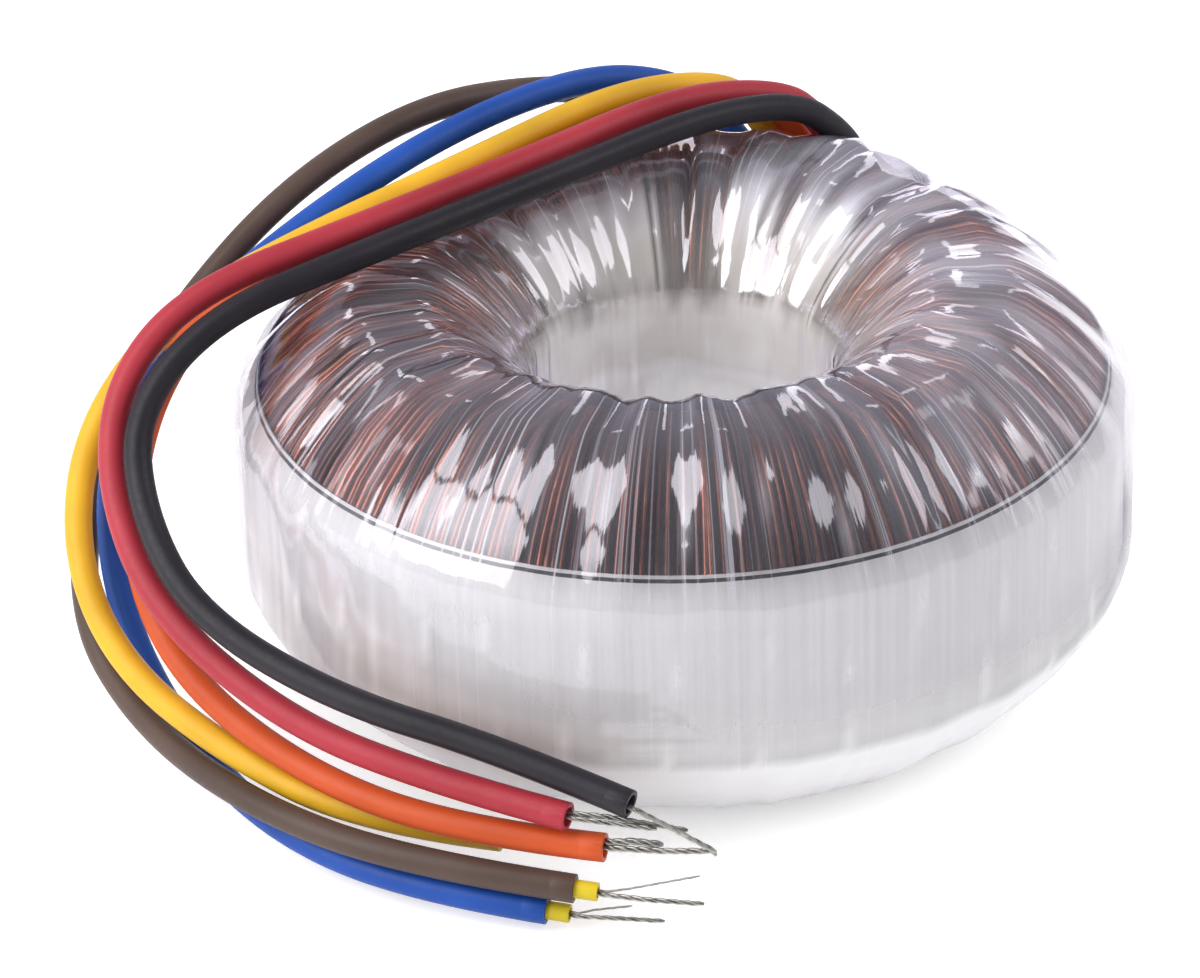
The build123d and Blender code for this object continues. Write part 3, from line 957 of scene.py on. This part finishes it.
def make_leads():
    tinned = tinned_wire()
    inner_vinyl = vinyl("inner", inner_sleeve_colour)
    for name, (colour, length, points) in LEADS.items():
        route = [Vector(point) * MM for point in points]
        exit_place = route[0]
        outwards = (route[1] - route[0]).normalized()
        lead = make_lead(name, colour, [exit_place - outwards * sleeve_root] + route)
        end = route[-1]
        direction = (route[-1] - route[-2]).normalized()
        mouth = hollow_tube("sleeve_mouth_" + name, end - direction * mouth_root, direction,
                            sleeve_radius * 0.995, sleeve_bore, mouth_root + 0.05 * MM)
        dress(mouth, lead.data.materials[0])
        if name in DOUBLE_SLEEVED:
            inner = hollow_tube("inner_sleeve_end_" + name, end - direction * inner_sleeve_root,
                                direction, inner_sleeve_radius, inner_sleeve_bore,
                                inner_sleeve_root + inner_sleeve_length)
            dress(inner, inner_vinyl)
            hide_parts("inner_sleeve_" + name)
            end = end + direction * inner_sleeve_length
        wires = make_wires(name, end, direction)
        dress(wires, tinned)
        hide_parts("wire_end_" + name)


# ---- Stage -----------------------------------------------------------------------
def make_floor():
    bpy.ops.mesh.primitive_plane_add(size=6.0, location=(0.0, 0.0, -0.05 * MM))
    floor = bpy.context.object
    floor.name = "studio_floor"
    floor.data.materials.append(floor_white())


def make_softbox(name, place, width, height, power):
    """A rectangular lamp that faces the ring's middle."""
    lamp = bpy.data.lights.new(name, "AREA")
    lamp.shape = "RECTANGLE"
    lamp.size = width
    lamp.size_y = height
    lamp.energy = power
    holder = add(name, lamp)
    holder.location = place
    towards = Vector((0.0, 0.0, middle_height)) - Vector(place)
    holder.rotation_euler = towards.to_track_quat("-Z", "Y").to_euler()


def make_lights():
    for name, place, width, height, power in SOFTBOXES:
        make_softbox(name, place, width, height, power)
    # Tall strips round the back, whose light the film's folds break into streaks.
    for name, bearing_degrees, width, power in BACK_STRIPS:
        bearing = math.radians(bearing_degrees)
        place = (strip_distance * math.sin(bearing), strip_distance * math.cos(bearing),
                 strip_height / 2 + strip_lift)
        make_softbox(name, place, width, strip_height, power)


def make_world():
    """A pale sweep behind the object and a darker room in front, seen in reflections."""
    world = bpy.data.worlds.new("studio_air")
    bpy.context.scene.world = world
    world.use_nodes = True
    tree = world.node_tree
    background = tree.nodes["Background"]
    direction = tree.nodes.new("ShaderNodeTexCoord").outputs["Generated"]
    parts = tree.nodes.new("ShaderNodeSeparateXYZ")
    tree.links.new(direction, parts.inputs[0])
    sweep = tree.nodes.new("ShaderNodeMapRange")
    sweep.interpolation_type = "SMOOTHSTEP"
    sweep.inputs["From Min"].default_value = -0.5
    sweep.inputs["From Max"].default_value = 0.6
    sweep.inputs["To Min"].default_value = room_level
    sweep.inputs["To Max"].default_value = sweep_level
    tree.links.new(parts.outputs["Y"], sweep.inputs["Value"])
    seen = seen_directly(tree)
    level = tree.nodes.new("ShaderNodeMix")
    level.data_type = "FLOAT"
    tree.links.new(seen, level.inputs["Factor"])
    level.inputs["A"].default_value = air_level
    tree.links.new(sweep.outputs["Result"], level.inputs["B"])
    tree.links.new(level.outputs["Result"], background.inputs["Strength"])
    tint = tree.nodes.new("ShaderNodeMixRGB")
    tree.links.new(seen, tint.inputs["Fac"])
    tint.inputs["Color1"].default_value = air_colour
    tint.inputs["Color2"].default_value = sweep_colour
    tree.links.new(tint.outputs["Color"], background.inputs["Color"])


def make_camera():
    back = Vector((0.0, -math.cos(camera_elevation), math.sin(camera_elevation)))
    place = Vector((0.0, 0.0, middle_height)) + back * camera_distance
    towards = (place - camera_aim).normalized()
    right = Vector((1.0, 0.0, 0.0))
    right = (right - towards * right.dot(towards)).normalized()
    upwards = towards.cross(right)
    across = right * math.cos(camera_roll) + upwards * math.sin(camera_roll)
    upwards = upwards * math.cos(camera_roll) - right * math.sin(camera_roll)
    camera = bpy.data.cameras.new("studio_camera")
    camera.sensor_width = 36.0
    camera.lens = camera_lens
    camera.clip_start = 0.01
    camera.clip_end = 20.0
    holder = add("studio_camera", camera)
    turned = Matrix((across, upwards, towards)).transposed().to_4x4()
    holder.matrix_world = Matrix.Translation(place) @ turned
    bpy.context.scene.camera = holder


def dress_hidden_nodes():
    tape = amber_tape()
    copper = hidden_copper()
    for node, material in (("core", strip_steel()), ("core_insulation", tape),
                           ("primary_winding", copper), ("interwinding_insulation", tape),
                           ("secondary_winding_inner", copper)):
        piece = frame["nodes"][node]
        piece.data.materials.clear()
        piece.data.materials.append(material)


make_camera()
make_lights()
make_world()
make_floor()
make_leads()
dress_hidden_nodes()
make_turns()
make_label()
make_film()
bpy.context.scene.view_settings.view_transform = "Standard"
